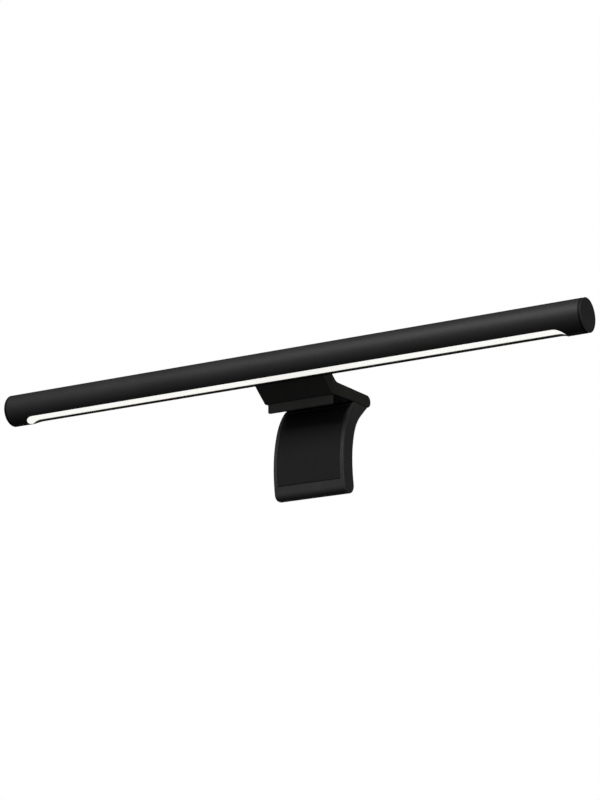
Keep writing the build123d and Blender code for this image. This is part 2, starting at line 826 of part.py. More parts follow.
with BuildPart() as leg_plate:
    with BuildSketch(side):
        leg_band(leg_pad_depth, plate_depth, pad_turn_top - 0.1, pad_turn_bottom - 0.1)
    extrude(amount=leg_width / 2 - rim_width - 0.1, both=True)
    for turn, across in leg_screw_places:
        with BuildSketch(leg_screw_plane(turn, across, plate_depth + 0.5)):
            Circle(leg_screw_radius + 0.25)
        extrude(amount=plate_depth, mode=Mode.SUBTRACT)
        with BuildSketch(leg_screw_plane(turn, across, leg_pad_depth + leg_head_depth)):
            Circle(head_radius + 0.1)
        extrude(amount=2.0, mode=Mode.SUBTRACT)
finish(leg_plate, "leg_plate")

with BuildPart() as leg_screws:
    for turn, across in leg_screw_places:
        with BuildSketch(leg_screw_plane(turn, across, leg_pad_depth + leg_head_depth)):
            Circle(head_radius)
        extrude(amount=leg_head_height)
        with BuildSketch(leg_screw_plane(turn, across, weight_depth - 0.2)):
            Circle(leg_screw_radius)
        extrude(amount=weight_depth - leg_pad_depth - leg_head_height)
finish(leg_screws, "leg_screws")

with BuildPart() as leg_pad:
    with BuildSketch(side):
        leg_band(pad_recess, leg_pad_depth, pad_turn_top - 0.1, pad_turn_bottom - 0.1)
    extrude(amount=leg_width / 2 - rim_width - 0.1, both=True)
finish(leg_pad, "leg_pad")
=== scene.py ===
import json
import math

import bmesh
import bpy
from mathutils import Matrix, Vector


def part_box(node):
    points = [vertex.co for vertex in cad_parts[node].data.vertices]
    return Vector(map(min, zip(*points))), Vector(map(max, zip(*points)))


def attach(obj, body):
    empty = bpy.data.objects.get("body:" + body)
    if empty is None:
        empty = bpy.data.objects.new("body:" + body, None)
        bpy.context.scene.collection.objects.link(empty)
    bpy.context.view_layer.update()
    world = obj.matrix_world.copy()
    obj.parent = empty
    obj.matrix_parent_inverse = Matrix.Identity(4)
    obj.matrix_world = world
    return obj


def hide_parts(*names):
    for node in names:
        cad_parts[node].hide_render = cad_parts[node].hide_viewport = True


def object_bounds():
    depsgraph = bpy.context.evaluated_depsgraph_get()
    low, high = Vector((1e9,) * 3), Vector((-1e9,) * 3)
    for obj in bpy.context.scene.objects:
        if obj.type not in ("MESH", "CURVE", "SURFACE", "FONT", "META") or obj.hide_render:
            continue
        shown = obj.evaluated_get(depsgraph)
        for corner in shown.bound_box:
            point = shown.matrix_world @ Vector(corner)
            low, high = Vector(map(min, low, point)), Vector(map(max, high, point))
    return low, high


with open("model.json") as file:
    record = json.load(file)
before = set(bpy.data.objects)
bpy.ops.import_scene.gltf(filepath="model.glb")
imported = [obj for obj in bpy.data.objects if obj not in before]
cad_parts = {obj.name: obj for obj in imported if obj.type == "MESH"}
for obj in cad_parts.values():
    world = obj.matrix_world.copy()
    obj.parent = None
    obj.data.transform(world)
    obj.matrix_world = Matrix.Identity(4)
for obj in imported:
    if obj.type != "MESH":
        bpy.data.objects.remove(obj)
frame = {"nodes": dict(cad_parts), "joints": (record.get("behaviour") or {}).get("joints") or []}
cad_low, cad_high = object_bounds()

MM = 0.001
scene = bpy.context.scene

# ---------------------------------------------------------------- places, from the CAD frame
joints = {joint["name"]: joint for joint in frame["joints"]}
tube_axis = Vector(joints["bar_tilt"]["pos_m"])


# ================================================================ materials
def new_node(tree, kind, values=None, **settings):
    """One shader node with its settings, and a value or a link for each named socket."""
    made = tree.nodes.new("ShaderNode" + kind)
    for key, value in settings.items():
        setattr(made, key, value)
    for key, value in (values or {}).items():
        if isinstance(value, bpy.types.NodeSocket):
            tree.links.new(value, made.inputs[key])
        else:
            made.inputs[key].default_value = value
    return made


def start_material(name):
    """An empty material: its tree, its Principled shader and its object coordinates."""
    material = bpy.data.materials.new(name)
    material.use_nodes = True
    tree = material.node_tree
    tree.nodes.clear()
    shader = new_node(tree, "BsdfPrincipled")
    new_node(tree, "OutputMaterial", {"Surface": shader.outputs[0]})
    place = new_node(tree, "TexCoord").outputs["Object"]
    return material, tree, shader, place


def stretched(tree, place, scale):
    """The coordinates scaled along each axis, for brushed and drawn finishes."""
    return new_node(tree, "Mapping", {"Vector": place, "Scale": scale}).outputs[0]


def noise(tree, place, size_mm, detail=3.0, rough=0.6):
    """Noise with features of about this size in millimetres."""
    values = {"Vector": place, "Scale": 1 / (size_mm * MM), "Detail": detail, "Roughness": rough}
    return new_node(tree, "TexNoise", values).outputs[0]


def cells(tree, place, size_mm):
    """Distance to the nearest of a field of points about this far apart."""
    values = {"Vector": place, "Scale": 1 / (size_mm * MM)}
    return new_node(tree, "TexVoronoi", values).outputs["Distance"]


def spread(tree, value, low, high, start=0.3, end=0.7):
    """A value mapped from start..end to low..high."""
    values = {"Value": value, "From Min": start, "From Max": end, "To Min": low, "To Max": high}
    return new_node(tree, "MapRange", values).outputs[0]


def math_node(tree, operation, first, second=0.0, third=0.0):
    """One Math node."""
    made = new_node(tree, "Math", operation=operation)
    for socket, value in zip(made.inputs, (first, second, third)):
        if isinstance(value, bpy.types.NodeSocket):
            tree.links.new(value, socket)
        else:
            socket.default_value = value
    return made.outputs[0]


def dot_product(tree, first, second):
    """How far two directions agree."""
    return new_node(tree, "VectorMath", {0: first, 1: second}, operation="DOT_PRODUCT").outputs["Value"]


def mix_colour(tree, factor, first, second):
    """Two colours mixed by a factor."""
    made = new_node(tree, "Mix", data_type="RGBA")
    for socket, value in zip((made.inputs[0], made.inputs[6], made.inputs[7]), (factor, first, second)):
        if isinstance(value, bpy.types.NodeSocket):
            tree.links.new(value, socket)
        elif isinstance(value, tuple):
            socket.default_value = (*value, 1.0)
        else:
            socket.default_value = value
    return made.outputs[2]


def shade(colour, factor):
    """A colour made lighter or darker."""
    return tuple(min(1.0, channel * factor) for channel in colour)


GRAIN_CONTRAST = 0.14
WORN_LIGHTER, WORN_SMOOTHER = 3.0, 0.15
DUST_COLOUR = (0.22, 0.21, 0.2)


def surface(
    name,
    colour,
    rough,
    metallic=0.0,
    specular=0.5,
    tone=0.12,
    tone_size=14.0,
    grain_size=0.35,
    grain_depth=0.012,
    pit_size=0.0,
    pit_depth=0.0,
    rough_spread=0.05,
    draw=None,
    wear=0.0,
    edge=0.15,
    dust=0.0,
    darker=None,
    **sockets,
):
    """A finish with broad tone, fine grain, pits, drawn lines, worn edges, dust and painted shade, all
    procedural.

    Sizes and depths are in millimetres. The shade argument (axis, start, end, factor) paints shade into
    the colour:
    it goes down to this factor where faces look along the axis, as their dot product with it runs from
    start to end.
    """
    material, tree, shader, place = start_material(name)
    fine_place = stretched(tree, place, draw) if draw else place
    broad = noise(tree, place, tone_size, 4.0)
    grain = noise(tree, fine_place, grain_size)
    tone_mix = spread(tree, broad, 0.0, 1.0)
    paint = mix_colour(tree, tone_mix, shade(colour, 1 - tone), shade(colour, 1 + tone))
    grey = spread(tree, grain, 1 - GRAIN_CONTRAST, 1 + GRAIN_CONTRAST)
    lit = new_node(tree, "VectorMath", {0: paint}, operation="SCALE")
    tree.links.new(grey, lit.inputs["Scale"])
    paint = lit.outputs[0]
    roughness = spread(tree, grain, rough - rough_spread, rough + rough_spread)
    roughness = math_node(tree, "ADD", roughness, spread(tree, broad, -rough_spread, rough_spread))
    height = math_node(tree, "MULTIPLY", grain, grain_depth)
    if pit_size:
        pits = spread(tree, cells(tree, place, pit_size), 0.0, 1.0, 0.05, 0.6)
        height = math_node(tree, "MULTIPLY_ADD", pits, pit_depth, height)
    rounded = new_node(tree, "Bevel", {"Radius": edge * MM}, samples=4).outputs[0]
    if wear:
        flat = new_node(tree, "NewGeometry").outputs["Normal"]
        agree = dot_product(tree, rounded, flat)
        patchy = spread(tree, noise(tree, place, 2.5, 5.0), 0.2, 1.0, 0.4, 0.65)
        worn = math_node(tree, "MULTIPLY", spread(tree, agree, wear, 0.0, 0.80, 0.97), patchy)
        paint = mix_colour(tree, worn, paint, shade(colour, WORN_LIGHTER))
        roughness = math_node(tree, "MULTIPLY_ADD", worn, -WORN_SMOOTHER, roughness)
    if dust:
        normal = new_node(tree, "NewGeometry").outputs["Normal"]
        facing = new_node(tree, "SeparateXYZ", {0: normal}).outputs[2]
        lying = spread(tree, facing, 0.0, dust, 0.2, 1.0)
        specks = spread(tree, noise(tree, place, 0.6, 6.0, 0.75), 0.0, 1.0, 0.52, 0.75)
        paint = mix_colour(tree, math_node(tree, "MULTIPLY", lying, specks), paint, DUST_COLOUR)
    # painted shade: faces that look along the axis get a darker colour, in place of shade from the
    # lighting
    if darker:
        axis, start, end, factor = darker
        normal = new_node(tree, "NewGeometry").outputs["Normal"]
        along = spread(tree, dot_product(tree, normal, axis), 0.0, 1.0, start, end)
        paint = mix_colour(tree, along, paint, shade(colour, factor))
    tree.links.new(paint, shader.inputs["Base Color"])
    tree.links.new(roughness, shader.inputs["Roughness"])
    bump = new_node(tree, "Bump", {"Height": height, "Distance": MM, "Strength": 1.0, "Normal": rounded})
    tree.links.new(bump.outputs[0], shader.inputs["Normal"])
    shader.inputs["Metallic"].default_value = metallic
    shader.inputs["Specular IOR Level"].default_value = specular
    for key, value in sockets.items():
        shader.inputs[key.replace("_", " ")].default_value = value
    return material


finishes = {
    # tube_coating: painted shade, its colour goes darker on the faces that look downwards, away from the
    # key light
    "tube_coating": surface(
        "tube_coating", (0.0228, 0.0227, 0.0231), 0.50, specular=0.22, tone=0.08, tone_size=30,
        grain_size=0.28, grain_depth=0.010, pit_size=0.35, pit_depth=0.006, wear=0.25, dust=0.05,
        darker=((0.0, -0.2, -0.98), 0.25, 0.75, 0.7)),
    "cap_plastic": surface(
        "cap_plastic", (0.0270, 0.0270, 0.0268), 0.52, specular=0.18, tone=0.07, tone_size=9,
        grain_size=0.22, grain_depth=0.008, pit_size=0.3, pit_depth=0.008, wear=0.2),
    # arm_coating: painted shade, the faces that look straight down go almost black as if in deep shade
    "arm_coating": surface(
        "arm_coating", (0.0270, 0.0264, 0.0252), 0.56, specular=0.16, tone=0.10, tone_size=16,
        grain_size=0.3, grain_depth=0.012, pit_size=0.4, pit_depth=0.010, wear=0.3, dust=0.04,
        darker=((0.0, 0.0, -1.0), 0.90, 0.98, 0.2)),
    "leg_plastic": surface(
        "leg_plastic", (0.0370, 0.0370, 0.0370), 0.48, specular=0.20, tone=0.08, tone_size=12,
        grain_size=0.25, grain_depth=0.008, pit_size=0.35, pit_depth=0.010, wear=0.2),
    # lip_plastic: painted light and shade, its colour is paler than the arm's to stand in for light on its
    # shaded front, and the faces that look along +x, towards the side light, are painted darker again
    "lip_plastic": surface(
        "lip_plastic", (0.0600, 0.0595, 0.0580), 0.52, specular=0.18, tone=0.08, tone_size=8,
        grain_size=0.25, grain_depth=0.008, pit_size=0.3, pit_depth=0.008, wear=0.2,
        darker=((1.0, 0.0, 0.0), 0.25, 0.80, 0.35)),
    "soft_rubber": surface(
        "soft_rubber", (0.0085, 0.0087, 0.0090), 0.74, specular=0.30, tone=0.12, tone_size=10,
        grain_size=0.4, grain_depth=0.03, pit_size=0.5, pit_depth=0.03, dust=0.05),
    "white_reflector": surface(
        "white_reflector", (0.86, 0.86, 0.84), 0.35, tone=0.03, tone_size=20, grain_size=0.5,
        grain_depth=0.004),
    "bare_aluminium": surface(
        "bare_aluminium", (0.62, 0.62, 0.63), 0.34, metallic=1.0, tone=0.06, grain_size=0.6,
        draw=(0.01, 1.0, 1.0), grain_depth=0.006),
    "thermal_tape": surface(
        "thermal_tape", (0.55, 0.57, 0.62), 0.6, tone=0.06, grain_size=0.5, grain_depth=0.01),
    "component_black": surface(
        "component_black", (0.018, 0.018, 0.020), 0.42, tone=0.1, tone_size=3, grain_size=0.12,
        grain_depth=0.006, wear=0.2),
    "plated_steel": surface(
        "plated_steel", (0.66, 0.65, 0.62), 0.22, metallic=1.0, tone=0.08, tone_size=5, grain_size=0.5,
        draw=(0.05, 1.0, 1.0), grain_depth=0.003),
    "steel": surface(
        "steel", (0.42, 0.42, 0.43), 0.36, metallic=1.0, tone=0.12, tone_size=6, grain_size=0.3,
        draw=(0.1, 1.0, 1.0), grain_depth=0.006, wear=0.3),
    "pin_steel": surface(
        "pin_steel", (0.55, 0.55, 0.56), 0.24, metallic=1.0, tone=0.07, tone_size=4, grain_size=0.25,
        draw=(0.04, 1.0, 1.0), grain_depth=0.003),
    "spring_steel": surface(
        "spring_steel", (0.30, 0.29, 0.28), 0.32, metallic=1.0, tone=0.15, tone_size=2, grain_size=0.15,
        grain_depth=0.003),
    "acetal": surface(
        "acetal", (0.78, 0.77, 0.72), 0.38, tone=0.04, tone_size=3, grain_size=0.2, grain_depth=0.006,
        Subsurface_Weight=0.15, Subsurface_Scale=0.002),
}


LENS_GLOW = 0.92
LENS_GLOW_COLOURS = ((0.94, 0.935, 0.885), (0.97, 0.965, 0.925))
LENS_FACE_COLOURS = ((0.30, 0.30, 0.29), (0.36, 0.36, 0.35))


def lens_material():
    """Opal acrylic lit from behind, softly frosted, with a glow that varies a little along it."""
    material, tree, shader, place = start_material("opal_lens")
    broad = noise(tree, place, 22.0, 3.0)
    grain = noise(tree, place, 0.3, 4.0)
    glow = mix_colour(tree, spread(tree, broad, 0.0, 1.0), *LENS_GLOW_COLOURS)
    tree.links.new(glow, shader.inputs["Emission Color"])
    shader.inputs["Emission Strength"].default_value = LENS_GLOW
    paint = mix_colour(tree, spread(tree, grain, 0.0, 1.0), *LENS_FACE_COLOURS)
    tree.links.new(paint, shader.inputs["Base Color"])
    tree.links.new(spread(tree, grain, 0.42, 0.52), shader.inputs["Roughness"])
    bump = new_node(tree, "Bump", {"Height": math_node(tree, "MULTIPLY", grain, 0.005), "Distance": MM})
    tree.links.new(bump.outputs[0], shader.inputs["Normal"])
    shader.inputs["Specular IOR Level"].default_value = 0.3
    return material


TRACK_PITCH, PAD_PITCH, COPPER_HEIGHT = 2.4, 3.1, 0.03
PAD_GOLD = (0.72, 0.53, 0.20)


def board_material(name, mask, trace):
    """Printed circuit board: solder mask over a fine pattern of tracks and gold pads."""
    material, tree, shader, place = start_material(name)
    pattern = {
        "Vector": place,
        "Scale": 1 / (TRACK_PITCH * MM),
        "Mortar Size": 0.09,
        "Mortar Smooth": 0.1,
        "Brick Width": 0.7,
    }
    tracks = new_node(tree, "TexBrick", pattern).outputs["Fac"]
    broad = noise(tree, place, 6.0, 4.0)
    paint = mix_colour(tree, spread(tree, broad, 0.0, 1.0), shade(mask, 0.85), shade(mask, 1.15))
    paint = mix_colour(tree, tracks, paint, trace)
    pads = spread(tree, cells(tree, place, PAD_PITCH), 1.0, 0.0, 0.10, 0.13)
    paint = mix_colour(tree, pads, paint, PAD_GOLD)
    tree.links.new(paint, shader.inputs["Base Color"])
    tree.links.new(spread(tree, broad, 0.28, 0.40), shader.inputs["Roughness"])
    track_height = math_node(tree, "MULTIPLY", tracks, COPPER_HEIGHT)
    height = math_node(tree, "MULTIPLY_ADD", pads, COPPER_HEIGHT, track_height)
    bump = new_node(tree, "Bump", {"Height": height, "Distance": MM})
    tree.links.new(bump.outputs[0], shader.inputs["Normal"])
    return material


# the offset, in pitches, keeps the remainder of every place along the strip positive
LED_PITCH, LED_ROW_OFFSET, LED_ROW_DROP = 14.0, 20.5, 3.4
PHOSPHOR_HALF, PHOSPHOR_SOFT, PHOSPHOR_STRETCH, PHOSPHOR_SUNK = 1.25, 0.1, 1.35, 0.08
LED_FRAME, LED_GLOW = (0.82, 0.82, 0.80), 0.6


def led_material(name, phosphor, glow, shift):
    """White package plastic with glowing squares of phosphor, halfway between the packages of its row."""
    material, tree, shader, place = start_material(name)
    axes = new_node(tree, "SeparateXYZ", {0: place}).outputs
    pitch = LED_PITCH * MM
    along = math_node(tree, "ADD", axes[0], pitch * LED_ROW_OFFSET - shift * MM)
    along = math_node(tree, "MODULO", along, pitch)
    along = math_node(tree, "ABSOLUTE", math_node(tree, "SUBTRACT", along, pitch / 2))
    across = math_node(tree, "SUBTRACT", axes[2], tube_axis.z - LED_ROW_DROP * MM)
    across = math_node(tree, "MULTIPLY", math_node(tree, "ABSOLUTE", across), PHOSPHOR_STRETCH)
    reach = math_node(tree, "MAXIMUM", along, across)
    inside = spread(tree, reach, 1.0, 0.0, PHOSPHOR_HALF * MM, (PHOSPHOR_HALF + PHOSPHOR_SOFT) * MM)
    grain = noise(tree, place, 0.15, 4.0)
    yellow = mix_colour(tree, spread(tree, grain, 0.0, 1.0), shade(phosphor, 0.9), shade(phosphor, 1.1))
    tree.links.new(mix_colour(tree, inside, LED_FRAME, yellow), shader.inputs["Base Color"])
    tree.links.new(spread(tree, inside, 0.30, 0.50, 0.0, 1.0), shader.inputs["Roughness"])
    tree.links.new(mix_colour(tree, inside, (0.0, 0.0, 0.0), glow), shader.inputs["Emission Color"])
    shader.inputs["Emission Strength"].default_value = LED_GLOW
    height = math_node(tree, "MULTIPLY", inside, -PHOSPHOR_SUNK)
    bump = new_node(tree, "Bump", {"Height": height, "Distance": MM})
    tree.links.new(bump.outputs[0], shader.inputs["Normal"])
    return material


finishes["opal_lens"] = lens_material()
finishes["circuit_board"] = board_material("circuit_board", (0.010, 0.055, 0.028), (0.025, 0.12, 0.06))
finishes["board_white"] = board_material("board_white", (0.78, 0.78, 0.76), (0.70, 0.70, 0.67))
finishes["led_warm"] = led_material("led_warm", (0.85, 0.50, 0.10), (1.0, 0.78, 0.45), -3.5)
finishes["led_cool"] = led_material("led_cool", (0.88, 0.72, 0.18), (0.85, 0.92, 1.0), 3.5)

PORT_ANGLE = math.radians(20.0)
port_out = Vector((0.0, math.cos(PORT_ANGLE), math.sin(PORT_ANGLE)))
port_down = Vector((0.0, math.sin(PORT_ANGLE), -math.cos(PORT_ANGLE)))
TONGUE_HALF_WIDTH, TONGUE_HALF_HEIGHT, TONGUE_MARGIN = 3.35, 0.35, 0.02
TONGUE_BLACK = (0.012, 0.012, 0.013)
SHELL_STEELS = ((0.60, 0.59, 0.56), (0.70, 0.69, 0.66))


def socket_material():
    """USB type C socket: drawn steel shell with a black moulded tongue inside."""
    material, tree, shader, place = start_material("socket_shell")
    here = new_node(tree, "VectorMath", {0: place, 1: tuple(tube_axis)}, operation="SUBTRACT").outputs[0]
    across = math_node(tree, "ABSOLUTE", dot_product(tree, here, tuple(port_down)))
    along = math_node(tree, "ABSOLUTE", new_node(tree, "SeparateXYZ", {0: here}).outputs[0])
    in_height = math_node(tree, "LESS_THAN", across, (TONGUE_HALF_HEIGHT + TONGUE_MARGIN) * MM)
    in_width = math_node(tree, "LESS_THAN", along, (TONGUE_HALF_WIDTH + TONGUE_MARGIN) * MM)
    tongue = math_node(tree, "MULTIPLY", in_height, in_width)
    grain = noise(tree, stretched(tree, place, (1.0, 0.1, 0.1)), 0.2)
    broad = noise(tree, place, 3.0)
    steel = mix_colour(tree, spread(tree, broad, 0.0, 1.0), *SHELL_STEELS)
    tree.links.new(mix_colour(tree, tongue, steel, TONGUE_BLACK), shader.inputs["Base Color"])
    tree.links.new(math_node(tree, "SUBTRACT", 1.0, tongue), shader.inputs["Metallic"])
    tree.links.new(spread(tree, grain, 0.20, 0.32), shader.inputs["Roughness"])
    bump = new_node(tree, "Bump", {"Height": math_node(tree, "MULTIPLY", grain, 0.004), "Distance": MM})
    tree.links.new(bump.outputs[0], shader.inputs["Normal"])
    return material


finishes["socket_shell"] = socket_material()
# cap_spacer: near black, darker than the cap plastic; partly its own colour and partly painted shade for
# the groove between tube and cap
finishes["cap_spacer"] = surface(
    "cap_spacer", (0.006, 0.006, 0.006), 0.60, specular=0.12, tone=0.10, tone_size=3, grain_size=0.2,
    grain_depth=0.006)
finishes["ribbon"] = surface(
    "ribbon", (0.30, 0.31, 0.33), 0.45, tone=0.06, tone_size=4, grain_size=0.35, draw=(1.0, 1.0, 0.02),
    grain_depth=0.03)
own_finish = {
    "usb_c_socket": "socket_shell",
    "cap_spacer_right": "cap_spacer",
    "cap_spacer_left": "cap_spacer",
    "board_ribbon": "ribbon",
}

for name, node in frame["nodes"].items():
    for place in node.material_slots:
        place.material = finishes[own_finish.get(name, place.material.name.split(".")[0])]


# ================================================================ soft pads
def border_steps(half, edge, inner):
    """Positions across a pad from -half to half, closer together over the rounded edges."""
    rounds = 5
    turn = [edge * (1 - math.cos(math.pi / 2 * k / rounds)) for k in range(rounds + 1)]
    flat = half - edge
    middle = [-flat + 2 * flat * k / inner for k in range(1, inner)]
    return [-half + t for t in turn] + middle + [half - t for t in reversed(turn)]


def pad_mesh(name, size, corner, edge, counts, place, skip=None):
    """A rounded slab mapped by place(u, v, w): u across, v along, w out of its face. All quads, closed.

    size is its width, length and thickness, and counts its cells across and along between the rounded
    edges. Cells where skip(u, v) is true are left out.
    """
    width, length, thick = size
    cells_across, cells_along = counts
    half_u, half_v = width / 2, length / 2
    columns = border_steps(half_u, edge, cells_across)
    rows = border_steps(half_v, edge, cells_along)
    points, faces = [], []
    for sign in (1, -1):
        for v in rows:
            for u in columns:
                gap = min(half_u - abs(u), half_v - abs(v))
                drop = 0.0
                if gap < edge:
                    drop = edge - math.sqrt(max(0.0, edge * edge - (edge - gap) ** 2))
                past_u, past_v = abs(u) - (half_u - corner), abs(v) - (half_v - corner)
                round_u, round_v = u, v
                if past_u > 0 and past_v > 0:
                    pull = max(past_u, past_v) / math.hypot(past_u, past_v)
                    round_u = math.copysign(half_u - corner + past_u * pull, u)
                    round_v = math.copysign(half_v - corner + past_v * pull, v)
                points.append(place(round_u, round_v, sign * (thick / 2 - drop)))
    across, along = len(columns), len(rows)
    layer = across * along
    # the sides of the kept cells, as a dict because it keeps their order
    used = {}
    for j in range(along - 1):
        for i in range(across - 1):
            if skip and skip((columns[i] + columns[i + 1]) / 2, (rows[j] + rows[j + 1]) / 2):
                continue
            first = j * across + i
            quad = (first, first + 1, first + 1 + across, first + across)
            faces.append(quad)
            faces.append(tuple(k + layer for k in reversed(quad)))
            for start, end in zip(quad, quad[1:] + quad[:1]):
                used[(start, end)] = True
    for start, end in used:
        if (end, start) not in used:
            faces.append((end, start, start + layer, end + layer))
    mesh = bpy.data.meshes.new(name)
    mesh.from_pydata([Vector(p) * MM for p in points], [], faces)
    if skip:
        loose = bmesh.new()
        loose.from_mesh(mesh)
        bmesh.ops.delete(loose, geom=[v for v in loose.verts if not v.link_faces], context="VERTS")
        loose.to_mesh(mesh)
        loose.free()
    mesh.validate()
    mesh.polygons.foreach_set("use_smooth", [True] * len(mesh.polygons))
    made = bpy.data.objects.new(name, mesh)
    scene.collection.objects.link(made)
    return made


def rubber(name, grain_size, grain_depth, pit_size, pit_depth, **more):
    """Soft rubber with its own moulded texture."""
    return surface(
        name, (0.0165, 0.0165, 0.0165), 0.72, specular=0.16, tone=0.12, tone_size=9, grain_size=grain_size,
        grain_depth=grain_depth, pit_size=pit_size, pit_depth=pit_depth, edge=0.1, **more)


axis_mm = tube_axis / MM
FRONT_START = (34.3, -59.0)
LOW_RADIUS, MID_RADIUS, TOP_RADIUS = 105.0, 77.0, 43.0
MID_TURN = math.radians(19.6)
LOW_TURN = math.radians(7.3)
TOP_TURN = math.radians(42.4)
LEG_PAD_WIDTH, PAD_TOP, PAD_BOTTOM = 48.8, 0.4, 1.6


def leg_front(run, depth):
    """Point of the leg's front curve at this run along it from its lower end, moved inwards by depth."""
    y0, z0 = FRONT_START
    low_run = LOW_RADIUS * LOW_TURN
    mid_run = MID_RADIUS * MID_TURN
    if run < low_run:
        turn = -(low_run - run) / LOW_RADIUS
        centre, radius = (y0 + LOW_RADIUS, z0), LOW_RADIUS
    elif run < low_run + mid_run:
        turn = (run - low_run) / MID_RADIUS
        centre, radius = (y0 + MID_RADIUS, z0), MID_RADIUS
    else:
        turn = MID_TURN + (run - low_run - mid_run) / TOP_RADIUS
        shift = MID_RADIUS - TOP_RADIUS
        centre = (y0 + MID_RADIUS - shift * math.cos(MID_TURN), z0 + shift * math.sin(MID_TURN))
        radius = TOP_RADIUS
    reach = radius - depth
    return centre[0] - reach * math.cos(turn), centre[1] + reach * math.sin(turn)


front_run = LOW_RADIUS * LOW_TURN + MID_RADIUS * MID_TURN + TOP_RADIUS * (TOP_TURN - MID_TURN)


def on_leg(u, v, w):
    """Leg pad: u along the bar, v up the curved front, w out of it."""
    y, z = leg_front(v + front_run / 2, (PAD_TOP + PAD_BOTTOM) / 2 - w)
    return u, y + axis_mm.y, z + axis_mm.z


leg_pad_size = (LEG_PAD_WIDTH, front_run, PAD_BOTTOM - PAD_TOP)
leg_pad = pad_mesh("leg_pad_soft", leg_pad_size, corner=0.7, edge=0.45, counts=(24, 36), place=on_leg)
# the leg pad's rubber gets painted shade: faces that look straight forward are painted darker
leg_pad_rubber = rubber(
    "leg_pad_rubber", grain_size=0.5, grain_depth=0.02, pit_size=0.6, pit_depth=0.02,
    darker=((0.0, -1.0, 0.0), 0.88, 1.0, 0.8))
leg_pad.data.materials.append(leg_pad_rubber)
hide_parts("leg_pad")
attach(leg_pad, "leg")

seat_low, seat_high = (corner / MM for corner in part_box("seat_pad"))
seat_middle = (seat_low + seat_high) / 2
seat_size = seat_high - seat_low


def on_seat(u, v, w):
    """Seat pad: v backwards, w downwards, so its free face looks down."""
    return u, seat_middle.y - v, seat_middle.z - w


seat_pad_size = tuple(seat_size)
seat_pad = pad_mesh("seat_pad_soft", seat_pad_size, corner=1.2, edge=0.35, counts=(24, 10), place=on_seat)
seat_pad_rubber = rubber(
    "seat_pad_rubber", grain_size=0.4, grain_depth=0.02, pit_size=1.1, pit_depth=0.05)
seat_pad.data.materials.append(seat_pad_rubber)
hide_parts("seat_pad")
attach(seat_pad, "clamp")

bezel_low, bezel_high = (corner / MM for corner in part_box("bezel_pad"))
bezel_middle = (bezel_low + bezel_high) / 2
bezel_size = bezel_high - bezel_low


def on_bezel(u, v, w):
    """Bezel pad: v up, w backwards, so its free face looks at the panel."""
    return -u, bezel_middle.y + w, bezel_middle.z + v


bezel_pad_size = (bezel_size.x, bezel_size.z, bezel_size.y)
bezel_pad = pad_mesh(
    "bezel_pad_soft", bezel_pad_size, corner=0.8, edge=0.2, counts=(24, 4), place=on_bezel)
bezel_pad_rubber = rubber(
    "bezel_pad_rubber", grain_size=0.35, grain_depth=0.015, pit_size=0.8, pit_depth=0.03)
bezel_pad.data.materials.append(bezel_pad_rubber)
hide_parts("bezel_pad")
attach(bezel_pad, "clamp")

LINER_RADIUS, LINER_THICK, LINER_WIDTH = 11.55, 0.8, 51.0
LINER_LOW, LINER_HIGH = math.radians(-32.6), math.radians(10.1)
NOTCH_HALF, NOTCH_FLOOR = 7.5, -3.0
liner_mid_radius = LINER_RADIUS + LINER_THICK / 2
liner_run = liner_mid_radius * (LINER_HIGH - LINER_LOW)


def on_saddle(u, v, w):
    """Saddle liner: v up round the tube, w towards the tube."""
    turn = (LINER_LOW + LINER_HIGH) / 2 + v / liner_mid_radius
    reach = liner_mid_radius - w
    return -u, axis_mm.y + reach * math.cos(turn), axis_mm.z + reach * math.sin(turn)


def in_notch(u, v):
    """True over the notch for the plug."""
    turn = (LINER_LOW + LINER_HIGH) / 2 + v / liner_mid_radius
    return abs(u) < NOTCH_HALF and liner_mid_radius * math.sin(turn) > NOTCH_FLOOR


liner_size = (LINER_WIDTH, liner_run, LINER_THICK)
liner = pad_mesh(
    "saddle_liner_soft", liner_size, corner=0.6, edge=0.2, counts=(51, 16), place=on_saddle, skip=in_notch)
liner_rubber = rubber(
    "saddle_liner_rubber", grain_size=0.3, grain_depth=0.01, pit_size=0.5, pit_depth=0.02)
liner.data.materials.append(liner_rubber)
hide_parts("saddle_liner")
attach(liner, "clamp")

# ================================================================ contacts in the power inlet
CONTACT_PITCH, CONTACT_WIDTH, CONTACT_LENGTH, CONTACT_PROUD = 0.5, 0.25, 2.8, 0.03
CONTACT_COUNT, CONTACT_END, CONTACT_EDGE = 12, 11.0, 0.02


def contact_points(across, face):
    """Corners of one contact on a face of the tongue, its top narrowed a little all round."""
    points = []
    levels = ((0.0, 0.0), (CONTACT_PROUD - CONTACT_EDGE, 0.0), (CONTACT_PROUD, CONTACT_EDGE))
    for lift, inset in levels:
        half = CONTACT_WIDTH / 2 - inset
        start, end = CONTACT_END - CONTACT_LENGTH + inset, CONTACT_END - inset
        for shift, reach in ((-half, start), (half, start), (half, end), (-half, end)):
            height = face * (TONGUE_HALF_HEIGHT + lift)
            sideways = Vector((across + shift, 0, 0))
            points.append(axis_mm + sideways + port_out * reach + port_down * height)
    return points


